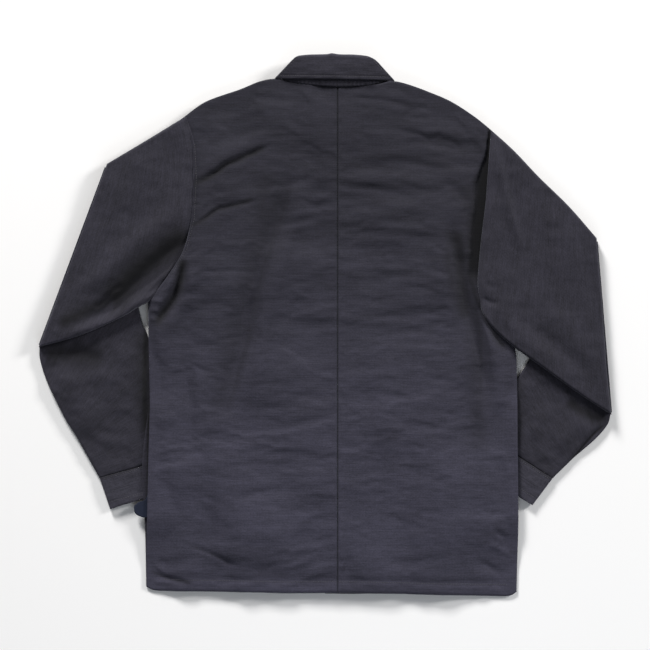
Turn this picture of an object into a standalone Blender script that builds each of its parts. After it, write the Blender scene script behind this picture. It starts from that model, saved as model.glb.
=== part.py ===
"""A snap-front welding jacket in heavy woven cloth, laid out flat on its front.

The jacket lies back up. Its sleeves run out from the shoulders, fold under at the elbow,
and tuck their cuffs under the body. Left and right are the wearer's. X runs to the wearer's
right, Y up to the collar and Z up from the surface. All sizes below are in millimetres.
"""

import math

import bmesh
import bpy
from mathutils import Vector

MM = 0.001

# Cloth and the levels of the layers above the surface that the jacket lies on
CLOTH = 1.6                 # one layer, as a solid
SEAM = 0.6                  # gap between panels that meet at a seam
FOREARM_TOP = 8.0           # a folded-under forearm lies on the surface
SLEEVE_BASE = 8.6
SLEEVE_TOP = 18.6
FRONT_LIFT = 2.2            # the fronts' middle lies on the snap caps
FRONT_OVER_FOREARM = 8.4    # their sides lie on the forearms
FRONT_UNDER_COLLAR = 2.5    # and their neck edge on the collar's points
BACK_CENTRE = 20.0          # underside of the back at its middle
BACK_HEM = 12.6             # and at the middle of the hem
BACK_ARMHOLE = 15.6         # underside of the back along the armholes
SHOULDER_LEVEL = 12.0       # where the fronts meet the back
PLACKET_STEP = 6.3          # how far the right front's edge lies above the left one

# The body
SIDE_ROWS, ARMHOLE_ROWS = 14, 6
ROWS = SIDE_ROWS + ARMHOLE_ROWS
CENTRE_X = 18.8             # centre back seam and centre front line
HEM_FLAT_Y = -372.0         # below this the fronts lie flat on the surface
SIDE_LEFT = [(-268, -392), (-269, -340), (-262, -110), (-265, 34)]
SIDE_RIGHT = [(287, -400), (288, -300), (287, -71), (284, -35), (268, 24)]
HEM_LEFT = [(CENTRE_X, -401), (-115, -400), (-251, -398), (-268, -392)]
HEM_RIGHT = [(CENTRE_X, -401), (167, -404), (271, -406), (287, -400)]
ARMHOLE_LEFT = [(-265, 34), (-235, 74), (-212, 112), (-201, 157), (-198, 220), (-201, 271), (-215, 308)]
ARMHOLE_RIGHT = [(268, 24), (247, 58), (236, 112), (233, 176), (234, 220), (238, 261), (248, 292)]
SHOULDER_LEFT = [(-215, 308), (-178, 334), (-128, 352), (-76, 361)]
SHOULDER_RIGHT = [(248, 292), (208, 322), (160, 346), (106, 359)]
NECK_BACK_Y = 357.0
NECK_LEFT_X, NECK_RIGHT_X = -75.0, 105.0
NECK_FRONT_Y = 290.0        # the front neckline at the centre front

# The front opening
FRONT_FOLD_X = -180.0       # where the left front turns back
OVERLAP = 38.0              # placket width
FACING_WIDTH = 62.0
SNAP_COUNT = 5
SNAP_TOP_Y, SNAP_PITCH = 255.0, 140.0

# Snap fasteners
CAP_RADIUS, CAP_HEIGHT = 7.5, 2.2
POST_RADIUS, HOLE_RADIUS = 2.0, 2.6
SOCKET_RADIUS, SOCKET_BORE, SOCKET_HEIGHT = 5.5, 2.9, 2.0
STUD_RADIUS, FLANGE_RADIUS = 2.3, 5.0
TURN_STEPS = 16

# Collar
COLLAR_TOP_LEFT, COLLAR_TOP_RIGHT = (-41.0, 400.0), (71.0, 400.0)
COLLAR_LOW_LEFT, COLLAR_LOW_RIGHT = (-75.0, 369.0), (104.0, 366.0)
COLLAR_TOP_Y = 405.84
STAND_TOP_Y = 400.5
STAND_FOOT_Y = 361.0
STAND_BASE, STAND_TOP = 2.5, 22.0
LEAF_LEVEL = 24.5
LEAF_LOW_Y = 367.0
COLLAR_CLOTH = 1.3
WING_POINT_LEFT, WING_POINT_RIGHT = (-88.0, 292.0), (122.0, 290.0)
WING_INNER_LEFT, WING_INNER_RIGHT = (-6.0, 318.0), (44.0, 318.0)

# Sleeves: the edges in the plane of the surface, from the armhole to the elbow fold and on to the cuff
ELBOW_LEFT = [(-326, 241), (-428.45, -36)]
ELBOW_RIGHT = [(406, 130), (428, -138)]
SLEEVE_TOP_EDGE_LEFT = [(-215, 308), (-267, 276), (-326, 241)]
SLEEVE_TOP_EDGE_RIGHT = [(248, 292), (320, 223), (406, 130)]
UNDERARM_LEFT = [(-265, 34), (-298, 16), (-344, -8), (-428.45, -36)]
UNDERARM_RIGHT = [(268, 24), (291, -24), (328, -62), (383, -104), (428, -138)]
FOREARM_INNER_LEFT = [(-326, 241), (-278, 21), (-209, -193)]
FOREARM_INNER_RIGHT = [(406, 130), (306, -50), (230, -158)]
FOREARM_OUTER_LEFT = [(-428.45, -36), (-418, -83), (-391, -137), (-338, -229)]
FOREARM_OUTER_RIGHT = [(428, -138), (416, -155), (380, -191), (341, -230)]
CUFF_END_LEFT = [(-322, -276), (-193, -241)]
CUFF_END_RIGHT = [(311, -270), (203, -199)]
CUFF_CLOTH = 1.7

# Pockets: the opening is in the side seam, and the bag lies between front and back
POCKET_TOP_Y, POCKET_BOTTOM_Y = -132.0, -292.0
POCKET_DEPTH = 150.0
POCKET_CLOTH = 0.8
POCKET_MOUTH = 2.6          # height of the bag at its opening
POCKET_GAP = 4.0            # how far it holds the side seam apart
POCKET_BASE = FRONT_OVER_FOREARM + CLOTH + 0.3

BODY = bpy.data.collections.new("welding_jacket")
CUTTERS = bpy.data.collections.new("cutters")


def clear_scene():
    for old in list(bpy.data.objects):
        bpy.data.objects.remove(old, do_unlink=True)
    for collection in (BODY, CUTTERS):
        bpy.context.scene.collection.children.link(collection)


def make_material(name, colour, roughness, metallic=0.0):
    material = bpy.data.materials.new(name)
    material.use_nodes = True
    shader = material.node_tree.nodes["Principled BSDF"]
    shader.inputs["Base Color"].default_value = (*colour, 1.0)
    shader.inputs["Roughness"].default_value = roughness
    shader.inputs["Metallic"].default_value = metallic
    material.diffuse_color = (*colour, 1.0)
    return material


SHELL = make_material("shell_cloth", (0.040, 0.039, 0.050), 0.8)
POCKETING = make_material("pocketing", (0.018, 0.026, 0.050), 0.85)
TAPE = make_material("tape", (0.030, 0.030, 0.034), 0.8)
LABEL = make_material("label_cloth", (0.55, 0.54, 0.50), 0.8)
METAL = make_material("snap_metal", (0.10, 0.10, 0.11), 0.35, 1.0)


def smooth(low, high, value):
    """0 before low, 1 after high, and a smooth step between them."""
    share = min(1.0, max(0.0, (value - low) / (high - low)))
    return share * share * (3.0 - 2.0 * share)


def along(points, count):
    """count + 1 points evenly spaced along the line through points."""
    corners = [Vector(p) for p in points]
    lengths = [0.0]
    for a, b in zip(corners, corners[1:]):
        lengths.append(lengths[-1] + (b - a).length)
    spaced = []
    for i in range(count + 1):
        wanted = lengths[-1] * i / count
        k = max(j for j in range(len(corners) - 1) if lengths[j] <= wanted + 1e-9)
        share = (wanted - lengths[k]) / (lengths[k + 1] - lengths[k])
        spaced.append(corners[k].lerp(corners[k + 1], share))
    return spaced


def patch(inner, outer, start, end, columns, rows):
    """Points of a Coons patch, as rows of (point, u, v): inner and outer run up it, and start and end across it.

    An edge that already has the right number of points is used as it is.
    """
    inner, outer = (along(edge, rows) if len(edge) != rows + 1 else edge for edge in (inner, outer))
    start, end = (along(edge, columns) if len(edge) != columns + 1 else edge for edge in (start, end))
    grid = []
    for j in range(rows + 1):
        v = j / rows
        row = []
        for i in range(columns + 1):
            u = i / columns
            across = inner[j].lerp(outer[j], u)
            up = start[i].lerp(end[i], v)
            corners = start[0].lerp(start[-1], u).lerp(end[0].lerp(end[-1], u), v)
            row.append((across + up - corners, u, v))
        grid.append(row)
    return grid


def add_object(name, mesh, material, collection=BODY):
    obj = bpy.data.objects.new(name, mesh)
    collection.objects.link(obj)
    mesh.materials.append(material)
    return obj


def mesh_of_rows(name, rows, closed=False, filled_end=False):
    """A mesh of quads through rows of points in millimetres; closed joins each row's ends."""
    built = bmesh.new()
    verts = [[built.verts.new(Vector(p) * MM) for p in row] for row in rows]
    across = len(rows[0])
    for a, b in zip(verts, verts[1:]):
        for i in range(across if closed else across - 1):
            k = (i + 1) % across
            built.faces.new((a[i], a[k], b[k], b[i]))
    if filled_end:
        built.faces.new(verts[-1])
    bmesh.ops.recalc_face_normals(built, faces=built.faces)
    mesh = bpy.data.meshes.new(name)
    built.to_mesh(mesh)
    built.free()
    return mesh


def solidify(obj, thickness, offset):
    modifier = obj.modifiers.new("thickness", "SOLIDIFY")
    modifier.thickness = thickness * MM
    modifier.offset = offset


def cloth_panel(name, grid, level, material=SHELL, thickness=CLOTH):
    """A sheet of cloth over the patch. level(x, y, u, v) is the height of its underside."""
    rows = [[(p.x, p.y, level(p.x, p.y, u, v)) for p, u, v in row] for row in grid]
    mesh = mesh_of_rows(name, rows)
    if mesh.polygons[0].normal.z < 0:
        mesh.flip_normals()
    obj = add_object(name, mesh, material)
    solidify(obj, thickness, 1.0)
    return obj


def flat_tube(name, grid, base, top, thickness=CLOTH, material=SHELL, end_top=None):
    """A flattened tube of cloth with half-round long edges, open at both ends.

    With end_top the tube is a pouch: its top rises to end_top and its last ring is filled in.
    """
    first_top, last_top = top, top if end_top is None else end_top
    arc_steps = 6
    rings = []
    for row in grid:
        points = [p for p, _, _ in row]
        top = first_top + (last_top - first_top) * smooth(0.1, 0.7, row[0][2])
        middle, half = (base + top) / 2, (top - base) / 2
        near = (points[0] - points[1]).normalized()
        far = (points[-1] - points[-2]).normalized()
        first, last = points[0] - near * half, points[-1] - far * half
        inside = points[1:-1]
        ring = [(p.x, p.y, top) for p in [first, *inside, last]]
        for k in range(1, arc_steps):
            turn = math.pi * k / arc_steps
            edge = last + far * half * math.sin(turn)
            ring.append((edge.x, edge.y, middle + half * math.cos(turn)))
        ring += [(p.x, p.y, base) for p in [last, *reversed(inside), first]]
        for k in range(1, arc_steps):
            turn = math.pi * k / arc_steps
            edge = first + near * half * math.sin(turn)
            ring.append((edge.x, edge.y, middle - half * math.cos(turn)))
        rings.append(ring)
    mesh = mesh_of_rows(name, rings, closed=True, filled_end=end_top is not None)
    if mesh.polygons[0].normal.z < 0:
        mesh.flip_normals()
    obj = add_object(name, mesh, material)
    solidify(obj, thickness, -1.0)
    return obj


def front_level(x, y, out=0.0):
    """Height of the underside of a front. out is 0 at the centre front and 1 at the side seam."""
    hem_rise = 1.0 if x < CENTRE_X else smooth(-335, -285, y)
    over_arm = smooth(0.40, 0.64, out) * hem_rise
    lift = FRONT_LIFT * smooth(HEM_FLAT_Y, HEM_FLAT_Y + 40, y) * (1.0 - smooth(34, 75, abs(x - CENTRE_X)))
    level = lift + (FRONT_UNDER_COLLAR - lift) * smooth(235, 280, y)
    level += (FRONT_OVER_FOREARM - level) * over_arm
    shoulder = smooth(260, 350, y) * (SHOULDER_LEVEL - 2.0 - level)
    return level + shoulder * smooth(0.0, 0.3, out)


def back_level(x, y, u, v):
    """Height of the underside of the back: domed over the body, low along the side seams and the shoulders."""
    pocket = smooth(POCKET_BOTTOM_Y - 75, POCKET_BOTTOM_Y - 35, y) * (1.0 - smooth(POCKET_TOP_Y, POCKET_TOP_Y + 40, y))
    seam = CLOTH + 0.5 + front_level(x, y, 1.0) + POCKET_GAP * pocket
    side = seam + (BACK_ARMHOLE - seam) * smooth(-20, 90, y)
    dome = BACK_HEM + (BACK_CENTRE - BACK_HEM) * smooth(-404, -320, y)
    level = dome - (dome - side) * u ** 4
    shoulder = smooth(0.80, 1.0, v) * smooth(0.36, 0.62, u)
    return level + (SHOULDER_LEVEL + 0.6 - level) * shoulder


def flank(side, armhole):
    """The outer edge of a body panel: its side seam, then its share of the armhole."""
    return along(side, SIDE_ROWS) + along(armhole, ARMHOLE_ROWS)[1:]


def seam_line(x, low, high):
    return [(x, low), (x, high)]


def make_back():
    neck_left = [(CENTRE_X - SEAM / 2, NECK_BACK_Y - 1), (NECK_LEFT_X, NECK_BACK_Y + 2)]
    neck_right = [(CENTRE_X + SEAM / 2, NECK_BACK_Y - 1), (NECK_RIGHT_X, NECK_BACK_Y + 1)]
    for side, hem, outer, neck, shoulder, sign in (
        ("left", HEM_LEFT, flank(SIDE_LEFT, ARMHOLE_LEFT), neck_left, SHOULDER_LEFT, -1),
        ("right", HEM_RIGHT, flank(SIDE_RIGHT, ARMHOLE_RIGHT), neck_right, SHOULDER_RIGHT, 1),
    ):
        middle = CENTRE_X + sign * SEAM / 2
        top = [neck[0], neck[1], *reversed(shoulder[:-1])]
        start = [(middle, hem[0][1]), *hem[1:]]
        grid = patch(seam_line(middle, hem[0][1], neck[0][1]), outer, start, top, 10, ROWS)
        cloth_panel(f"back_panel_{side}", grid, back_level)


def cut_line(points, y):
    """x of a line of points, running upwards, at height y."""
    for (x0, y0), (x1, y1) in zip(points, points[1:]):
        if y0 <= y <= y1:
            return x0 + (x1 - x0) * (y - y0) / (y1 - y0)
    return points[-1][0]


def bore_holes(obj, places, radius, low, high):
    """Cuts upright holes through the object at the places."""
    for k, (x, y) in enumerate(places, 1):
        bpy.ops.mesh.primitive_cylinder_add(
            vertices=12, radius=radius * MM, depth=(high - low) * MM,
            location=(x * MM, y * MM, (low + high) / 2 * MM),
        )
        cutter = bpy.context.active_object
        cutter.name = f"{obj.name}_hole_{k}"
        for holder in cutter.users_collection:
            holder.objects.unlink(cutter)
        CUTTERS.objects.link(cutter)
        cutter.hide_render = True
        cutter.display_type = "WIRE"
        modifier = obj.modifiers.new(f"hole_{k}", "BOOLEAN")
        modifier.operation = "DIFFERENCE"
        modifier.solver = "EXACT"
        modifier.object = cutter


def snap_places():
    return [(CENTRE_X, SNAP_TOP_Y - SNAP_PITCH * k) for k in range(SNAP_COUNT)]


def make_fronts():
    """The left front, which opens about a fold line, the right front, and both facings."""
    left_edge, right_edge = CENTRE_X + OVERLAP / 2, CENTRE_X - OVERLAP / 2
    fold_out = FRONT_FOLD_X - SEAM / 2
    full = CENTRE_X + 268.0

    def left_out(x):
        return max(0.0, (CENTRE_X - x) / full)

    def right_out(x):
        return max(0.0, (x - CENTRE_X) / (287.0 - CENTRE_X))

    outer = flank(SIDE_LEFT, ARMHOLE_LEFT)
    start = [(fold_out, -399), (-251, -398), (-268, -392)]
    end = [(fold_out, 330), ARMHOLE_LEFT[-1]]
    grid = patch(seam_line(fold_out, -399, 330), outer, start, end, 5, ROWS)
    cloth_panel("front_side_panel_left", grid, lambda x, y, u, v: front_level(x, y, left_out(x)))

    # The left front runs from the fold to its own edge, and the neckline curves down to the centre front
    inner = seam_line(FRONT_FOLD_X + SEAM / 2, -399, 332)
    outer = seam_line(left_edge, -401, NECK_FRONT_Y)
    start = [inner[0], outer[0]]
    end = [inner[1], (-128, 350), (-80, 352), (-55, 312), (-20, 293), (left_edge, NECK_FRONT_Y)]
    grid = patch(inner, outer, start, end, 8, ROWS)
    left = cloth_panel("front_panel_left", grid, lambda x, y, u, v: front_level(x, y, left_out(x)))

    placket_in = left_edge - FACING_WIDTH
    grid = patch(seam_line(placket_in, -398, 292), seam_line(left_edge, -398, NECK_FRONT_Y - 1),
                 [(placket_in, -398), (left_edge, -398)],
                 [(placket_in, 292), (left_edge, NECK_FRONT_Y - 1)], 3, ROWS)
    placket = cloth_panel("front_facing_left", grid,
                          lambda x, y, u, v: front_level(x, y, left_out(x)) + CLOTH + 0.3)

    # The right front passes over the left one's edge, so it steps up towards its own edge
    def right_level(x, y, u, v):
        step = PLACKET_STEP * (1.0 - smooth(left_edge + 3, left_edge + 32, x))
        return front_level(x, y, right_out(x)) + step

    inner = seam_line(right_edge, -402, NECK_FRONT_Y)
    outer = flank(SIDE_RIGHT, ARMHOLE_RIGHT)
    start = [inner[0], (167, -404), (271, -406), outer[0]]
    end = [inner[1], (50, 293), (85, 312), (110, 352), (160, 343), (208, 320), outer[-1]]
    grid = patch(inner, outer, start, end, 16, ROWS)
    right = cloth_panel("front_panel_right", grid, right_level)

    facing_out = left_edge + 2
    grid = patch(seam_line(right_edge, -399, NECK_FRONT_Y - 1), seam_line(facing_out, -399, 291),
                 [(right_edge, -399), (facing_out, -399)],
                 [(right_edge, NECK_FRONT_Y - 1), (facing_out, 291)], 4, ROWS)
    facing = cloth_panel("front_facing_right", grid, lambda x, y, u, v: right_level(x, y, u, v) + CLOTH + 0.4)

    for obj in (left, placket, right, facing):
        bore_holes(obj, snap_places(), HOLE_RADIUS, -5.0, 30.0)


def turned(name, profile, x, y, material=METAL):
    """A solid turned about an upright axis at x, y. profile is (radius, height) pairs from its top to its foot."""
    mesh = bpy.data.meshes.new(name)
    points = [Vector((r, 0.0, z)) * MM for r, z in profile]
    mesh.from_pydata(points, [(i, i + 1) for i in range(len(points) - 1)], [])
    obj = add_object(name, mesh, material)
    obj.location = (x * MM, y * MM, 0.0)
    modifier = obj.modifiers.new("turn", "SCREW")
    modifier.angle = math.tau
    modifier.steps = TURN_STEPS
    modifier.render_steps = TURN_STEPS
    modifier.use_merge_vertices = True
    modifier.merge_threshold = 0.00001
    return obj


def make_snaps():
    """Each snap is a cap with its socket, clenched through the left front, and a stud clenched through the right one."""
    for k, (x, y) in enumerate(snap_places(), 1):
        base = front_level(x, y)
        foot = base - CAP_HEIGHT
        inside = base + 2 * CLOTH + 0.6
        lip = inside + SOCKET_HEIGHT
        turned(f"front_snap_cap_{k}", [
            (0, inside + 0.6), (SOCKET_BORE, inside + 0.6), (SOCKET_BORE, lip), (SOCKET_RADIUS - 0.8, lip),
            (SOCKET_RADIUS, lip - 0.8), (SOCKET_RADIUS, inside), (POST_RADIUS, inside),
            (POST_RADIUS, base - 0.3), (CAP_RADIUS - 0.6, base - 0.3), (CAP_RADIUS, base - 1.0),
            (CAP_RADIUS - 1.2, foot + 0.2), (0, foot),
        ], x, y)
        under = base + PLACKET_STEP
        top = under + 2 * CLOTH + 0.7
        turned(f"front_snap_stud_{k}", [
            (0, top + 1.0), (FLANGE_RADIUS - 0.5, top + 1.0), (FLANGE_RADIUS, top + 0.6), (FLANGE_RADIUS, top),
            (POST_RADIUS, top), (POST_RADIUS, inside + 1.8), (STUD_RADIUS, inside + 1.4), (STUD_RADIUS - 0.5, inside + 0.9),
            (0, inside + 0.9),
        ], x, y)


def make_collar():
    """The stand rings the neck. The leaf folds down from its top edge, and its points lie on the fronts."""
    left = [(NECK_LEFT_X + 2, STAND_FOOT_Y), COLLAR_LOW_LEFT, COLLAR_TOP_LEFT]
    right = [(NECK_RIGHT_X - 2, STAND_FOOT_Y), COLLAR_LOW_RIGHT, COLLAR_TOP_RIGHT]
    low = [left[0], right[0]]
    high = [(COLLAR_TOP_LEFT[0] + 2, STAND_TOP_Y), (COLLAR_TOP_RIGHT[0] - 2, STAND_TOP_Y)]
    left[-1], right[-1] = high
    grid = patch(left, right, low, high, 6, 5)
    flat_tube("collar_stand", grid, STAND_BASE, STAND_TOP)

    low = [(COLLAR_LOW_LEFT[0], LEAF_LOW_Y + 1), (CENTRE_X, LEAF_LOW_Y - 1), COLLAR_LOW_RIGHT]
    high = [COLLAR_TOP_LEFT, (-20, COLLAR_TOP_Y), (10, COLLAR_TOP_Y - 1), (50, COLLAR_TOP_Y), COLLAR_TOP_RIGHT]
    grid = patch([low[0], high[0]], [low[-1], high[-1]], low, high, 10, 4)

    def leaf_level(x, y, u, v):
        return LEAF_LEVEL + 1.2 * math.sin(math.pi * v) - 1.5 * v

    cloth_panel("under_collar", grid, leaf_level, thickness=COLLAR_CLOTH)
    cloth_panel("collar_leaf", grid, lambda x, y, u, v: leaf_level(x, y, u, v) + COLLAR_CLOTH + 0.4,
                thickness=COLLAR_CLOTH)

    for side, top, low_end, inner, point in (
        ("left", COLLAR_TOP_LEFT, COLLAR_LOW_LEFT, WING_INNER_LEFT, WING_POINT_LEFT),
        ("right", COLLAR_TOP_RIGHT, COLLAR_LOW_RIGHT, WING_INNER_RIGHT, WING_POINT_RIGHT),
    ):
        grid = patch([low_end, point], [top, inner], [low_end, top], [point, inner], 4, 4)
        cloth_panel(f"collar_point_{side}", grid, lambda x, y, u, v: 0.2, thickness=2.0)


def make_neck_fittings():
    """The facing inside the back neck, the loop that the jacket hangs by, and a blank size label."""
    def facing_level(x, y, u, v):
        return BACK_CENTRE - 4.6 - 1.6 * abs(2 * u - 1)

    grid = patch([(-50, 300), (-58, 350)], [(88, 300), (96, 350)], [(-50, 300), (CENTRE_X, 285), (88, 300)],
                 [(-58, 350), (96, 350)], 8, 3)
    cloth_panel("neck_facing", grid, facing_level, thickness=1.2)

    grid = patch([(-6, 296), (-6, 324)], [(44, 296), (44, 324)], [(-6, 296), (44, 296)],
                 [(-6, 324), (44, 324)], 4, 2)
    cloth_panel("size_label", grid, lambda x, y, u, v: BACK_CENTRE - 6.4, LABEL, 0.6)

    loop = bpy.data.curves.new("hanger_loop", "CURVE")
    loop.dimensions = "3D"
    loop.bevel_depth = 1.3 * MM
    loop.bevel_resolution = 2
    loop.use_fill_caps = True
    spline = loop.splines.new("POLY")
    span, drop, steps = 34.0, 4.6, 12
    spline.points.add(steps)
    for k in range(steps + 1):
        turn = math.pi * k / steps
        x = CENTRE_X - span * math.cos(turn)
        z = BACK_CENTRE - 8.0 - drop * math.sin(turn) * 0.35
        spline.points[k].co = (x * MM, (345 - 16 * math.sin(turn)) * MM, z * MM, 1.0)
    obj = bpy.data.objects.new("hanger_loop", loop)
    loop.materials.append(TAPE)
    BODY.objects.link(obj)


def make_pockets():
    """A pocket bag behind each side seam opening. The left one stands out of its opening a little."""
    for side, seam_x, sign, out in (("left", -262.0, 1, 22.0), ("right", 287.0, -1, -4.0)):
        mouth_low = (seam_x - sign * out, POCKET_BOTTOM_Y)
        mouth_high = (seam_x + sign * 5, POCKET_TOP_Y)
        deep_low = (seam_x + sign * POCKET_DEPTH, POCKET_BOTTOM_Y + 6)
        deep_high = (seam_x + sign * (POCKET_DEPTH + 4), POCKET_TOP_Y + 22)
        grid = patch([mouth_low, deep_low], [mouth_high, deep_high],
                     [mouth_low, mouth_high], [deep_low, deep_high], 6, 6)
        flat_tube(f"pocket_bag_{side}", grid, POCKET_BASE, POCKET_BASE + POCKET_MOUTH,
                  POCKET_CLOTH, POCKETING, end_top=POCKET_BASE + 6.4)


def make_sleeves():
    for side, top_edge, underarm, armhole, elbow, outer, inner, cuff in (
        ("left", SLEEVE_TOP_EDGE_LEFT, UNDERARM_LEFT, ARMHOLE_LEFT, ELBOW_LEFT,
         FOREARM_OUTER_LEFT, FOREARM_INNER_LEFT, CUFF_END_LEFT),
        ("right", SLEEVE_TOP_EDGE_RIGHT, UNDERARM_RIGHT, ARMHOLE_RIGHT, ELBOW_RIGHT,
         FOREARM_OUTER_RIGHT, FOREARM_INNER_RIGHT, CUFF_END_RIGHT),
    ):
        out = -0.8 if side == "left" else 0.8
        start = [(p.x + out, p.y) for p in along(armhole, ARMHOLE_ROWS)]
        grid = patch([start[0], *underarm[1:]], [start[-1], *top_edge[1:]], [Vector(p) for p in start],
                     [elbow[1], elbow[0]], ARMHOLE_ROWS, 8)
        flat_tube(f"sleeve_upper_{side}", grid, SLEEVE_BASE, SLEEVE_TOP)
        seam = [outer[-1], inner[-1]]
        grid = patch(outer, inner, [elbow[1], elbow[0]], seam, 6, 8)
        flat_tube(f"sleeve_forearm_{side}", grid, 0.0, FOREARM_TOP)
        down = (Vector(cuff[0]) - Vector(seam[0])).normalized() * SEAM
        start = [Vector(p) + down for p in seam]
        grid = patch([start[0], cuff[0]], [start[1], cuff[1]], start, cuff, 6, 2)
        flat_tube(f"cuff_{side}", grid, 0.0, FOREARM_TOP, CUFF_CLOTH)


def main():
    clear_scene()
    make_back()
    make_fronts()
    make_snaps()
    make_collar()
    make_neck_fittings()
    make_pockets()
    make_sleeves()


main()
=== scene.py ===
"""The looks of a woven cloth welding jacket that lies on its front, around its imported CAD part.

Sizes are in millimetres, in the CAD's frame: X to the wearer's right, Y to the collar, Z up.
"""

import math

import bmesh
import bpy
import numpy as np
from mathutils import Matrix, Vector
from mathutils.bvhtree import BVHTree


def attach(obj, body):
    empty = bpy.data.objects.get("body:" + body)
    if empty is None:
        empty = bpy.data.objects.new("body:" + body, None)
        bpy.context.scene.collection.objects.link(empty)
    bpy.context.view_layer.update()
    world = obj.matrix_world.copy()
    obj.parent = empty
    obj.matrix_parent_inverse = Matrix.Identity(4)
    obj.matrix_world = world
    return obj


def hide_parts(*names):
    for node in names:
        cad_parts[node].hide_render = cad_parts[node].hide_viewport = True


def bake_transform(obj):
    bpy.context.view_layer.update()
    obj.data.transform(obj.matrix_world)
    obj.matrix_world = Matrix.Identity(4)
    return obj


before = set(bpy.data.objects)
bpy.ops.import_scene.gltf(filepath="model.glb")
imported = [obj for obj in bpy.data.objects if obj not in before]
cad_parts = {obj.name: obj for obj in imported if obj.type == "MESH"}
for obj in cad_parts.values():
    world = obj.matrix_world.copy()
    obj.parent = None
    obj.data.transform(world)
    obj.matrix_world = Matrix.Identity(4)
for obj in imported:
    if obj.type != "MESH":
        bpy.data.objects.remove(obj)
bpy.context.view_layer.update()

MM = 0.001
CLOTH = 0.9                 # the look's cloth, thinner than the CAD's
CENTRE_X = 18.8
HALF_BACK = 285.0           # from the centre seam to a side seam, about
HEM = 17.0                  # how far the hem is turned up
LEFT_EDGE, RIGHT_EDGE = CENTRE_X + 19.0, CENTRE_X - 19.0        # the fronts overlap between these
FOLD_X = -180.0             # the line that the left front opens about
FRONT_NECK_Y = 290.0

SIM_FRAMES = 22
PUCKER = 0.7                # the most that the simulation lifts or sinks the cloth

STITCH, GAP, THREAD_RADIUS = 2.7, 0.9, 0.42
PATH_STEP = 0.9             # between the points of a stitched line

SLEEVE_UNDERSIDE = 9.2
FOREARM_TOP = 8.0           # without its folds
STAND_HEIGHT = 42.0
LEAF_HEIGHT, LEAF_WIDTH, LEAF_MIDDLE = 36.0, 170.0, 15.0

# Outlines, each for the wearer's left and right
SIDE = {
    "left": [(-268, -392), (-268, -340), (-266, -289), (-264, -200), (-262, -128), (-262, -110), (-264, -20),
             (-265, 34)],
    "right": [(287, -400), (289, -300), (288, -180), (287, -71), (284, -35), (268, 24)],
}
HEM_LINE = {
    "left": [(CENTRE_X, -401), (-50, -401.5), (-115, -400), (-190, -399), (-251, -398), (-268, -392)],
    "right": [(CENTRE_X, -401), (90, -402), (167, -404), (230, -405.5), (274, -406), (287, -400)],
}
ARMHOLE = {
    "left": [(-265, 34), (-235, 74), (-212, 112), (-201, 157), (-198, 220), (-201, 271), (-215, 308)],
    "right": [(268, 24), (252, 58), (245, 112), (248, 176), (250, 220), (250, 261), (249, 291)],
}
BACK_END = {                # from the centre of the neck to the armhole
    "left": [(CENTRE_X, 356.5), (-12, 358), (-45, 362), (-72, 368), (-98, 364), (-128, 352), (-178, 334),
             (-215, 308)],
    "right": [(CENTRE_X, 356.5), (48, 357), (80, 360), (104, 364), (140, 354), (185, 336), (220, 314),
              (248, 292)],
}
ELBOW = {
    "left": [(-326, 241), (-428, -33)],
    "right": [(406, 130), (414, 40), (421, -60), (428, -134)],
}
SLEEVE_START = {
    "left": [(-260, 36), (-230, 76), (-207, 114), (-196, 159), (-193, 222), (-196, 273), (-208, 312.4)],
    "right": [(230, 46), (228, 70), (233, 127), (240, 187), (244.5, 247), (248, 292)],
}
SLEEVE_TOP = {
    "left": [(-208, 312.4), (-262, 279), (-326, 241)],
    "right": [(248, 292), (283, 260), (320, 221), (365, 177), (406, 130)],
}
SLEEVE_LOW = {
    "left": [(-260, 36), (-280, 26), (-307, 10), (-367, -16), (-428, -33)],
    "right": [(230, 46), (238, 12), (271, -24), (323, -62), (383, -105), (428, -134)],
}
FOREARM_OUTER = {
    "left": [(-428, -33), (-427, -52), (-417, -84), (-391, -138), (-373, -167), (-338, -229)],
    "right": [(428, -134), (423, -150), (404, -172), (374, -198), (341, -230)],
}
FOREARM_INNER = {
    "left": [(-326, 241), (-278, 21), (-266, -14), (-236, -105), (-209, -193)],
    "right": [(406, 130), (312, -40), (293, -72), (262, -110), (230, -158)],
}
CUFF_END = {
    "left": [(-322, -276), (-287, -265), (-193, -241)],
    "right": [(311, -270), (290, -257), (203, -199)],
}


# ---- Curves, patches and noise ------------------------------------------------------------------

def line(points, count):
    """count + 1 points evenly spaced along straight lines through points."""
    points = np.array(points, float)
    reach = np.concatenate([[0], np.cumsum(np.linalg.norm(np.diff(points, axis=0), axis=1))])
    at = np.linspace(0, reach[-1], count + 1)
    return np.stack([np.interp(at, reach, points[:, k]) for k in range(points.shape[1])], 1)


def curve(points, count):
    """The same, along a smooth curve through points."""
    p = np.array(points, float)
    p = np.concatenate([[2 * p[0] - p[1]], p, [2 * p[-1] - p[-2]]])
    dense = []
    for a, b, c, d in zip(p, p[1:], p[2:], p[3:]):
        for t in np.linspace(0, 1, 16, endpoint=False):
            dense.append(0.5 * (2 * b + (c - a) * t + (2 * a - 5 * b + 4 * c - d) * t * t
                                + (3 * b - a - 3 * c + d) * t ** 3))
    dense.append(p[-2])
    return line(dense, count)


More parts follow.
